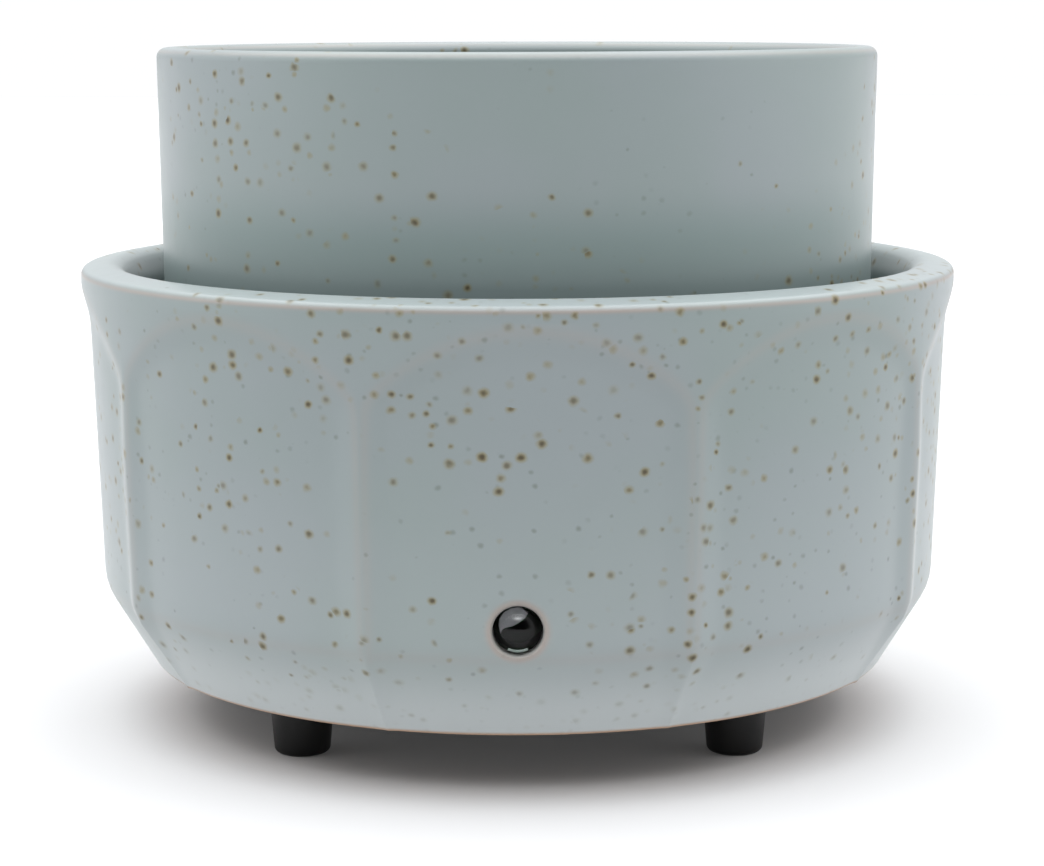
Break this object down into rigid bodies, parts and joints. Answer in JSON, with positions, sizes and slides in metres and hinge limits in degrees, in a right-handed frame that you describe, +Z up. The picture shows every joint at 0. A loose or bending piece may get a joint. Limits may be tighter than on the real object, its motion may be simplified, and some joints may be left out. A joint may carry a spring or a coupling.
{
  "type": "wax melt warmer",
  "caption": "Round ceramic wax melt warmer: a straight-sided dish lifts off a hot plate in a panelled base with an indicator lamp and low rubber feet.",
  "frame": {"origin": "centre of the base on the surface it stands on, at the feet's lower face", "axes": "+Z up along the turning axis of the base and the dish; the indicator lamp faces -Y and the cord inlet +Y"},
  "size_m": [0.14, 0.14, 0.1072],
  "materials": {
    "mint_glaze": "glossy pale mint glaze with small brown specks",
    "plate_aluminium": "satin spun disc",
    "sheet_steel": "plain sheet steel",
    "zinc_steel": "bright zinc-plated fasteners",
    "heater_alloy": "matt grey heating alloy",
    "mica": "pressed mica, matt",
    "white_silicone": "matt white silicone",
    "black_rubber": "satin black rubber",
    "cover_plastic": "fine-grained dark plastic",
    "block_plastic": "matt natural plastic",
    "lamp_clear": "clear glossy dome",
    "board_green": "lacquered board",
    "resistor_tan": "matt lacquer",
    "brass": "bright brass",
    "lead_brown": "silicone-jacketed lead",
    "lead_blue": "silicone-jacketed lead",
    "lead_white": "silicone-jacketed lead",
    "fuse_case": "bright metal case"
  },
  "bodies": {
    "base": {"base_housing": "mint_glaze", "hot_plate": "plate_aluminium", "plate_gasket": "white_silicone", "upper_mica": "mica", "lower_mica": "mica", "heating_element": "heater_alloy", "clamp_plate": "sheet_steel", "clamp_nuts": "zinc_steel", "shield_spacers": "zinc_steel", "heat_shield": "sheet_steel", "tie_rods": "zinc_steel", "bottom_cover": "cover_plastic", "tie_screws": "zinc_steel", "foot_rear_right": "black_rubber", "foot_rear_left": "black_rubber", "foot_front_left": "black_rubber", "foot_front_right": "black_rubber", "foot_screws": "zinc_steel", "thermal_fuse": "fuse_case", "fuse_clip": "sheet_steel", "fuse_screws": "zinc_steel", "terminal_block": "block_plastic", "terminal_screws": "brass", "block_screw": "zinc_steel", "indicator_lamp": "lamp_clear", "lamp_holder": "black_rubber", "lamp_board": "board_green", "lamp_resistor": "resistor_tan", "cord_grommet": "black_rubber", "neutral_lead": "lead_blue", "fuse_lead": "lead_brown", "live_lead": "lead_brown", "lamp_leads": "lead_white"},
    "dish": {"wax_dish": "mint_glaze"}
  },
  "joints": [
    {"name": "dish_lift", "type": "slide", "parent": "base", "child": "dish", "axis": [0, 0, 1], "range_m": [0, 0.06]}
  ]
}
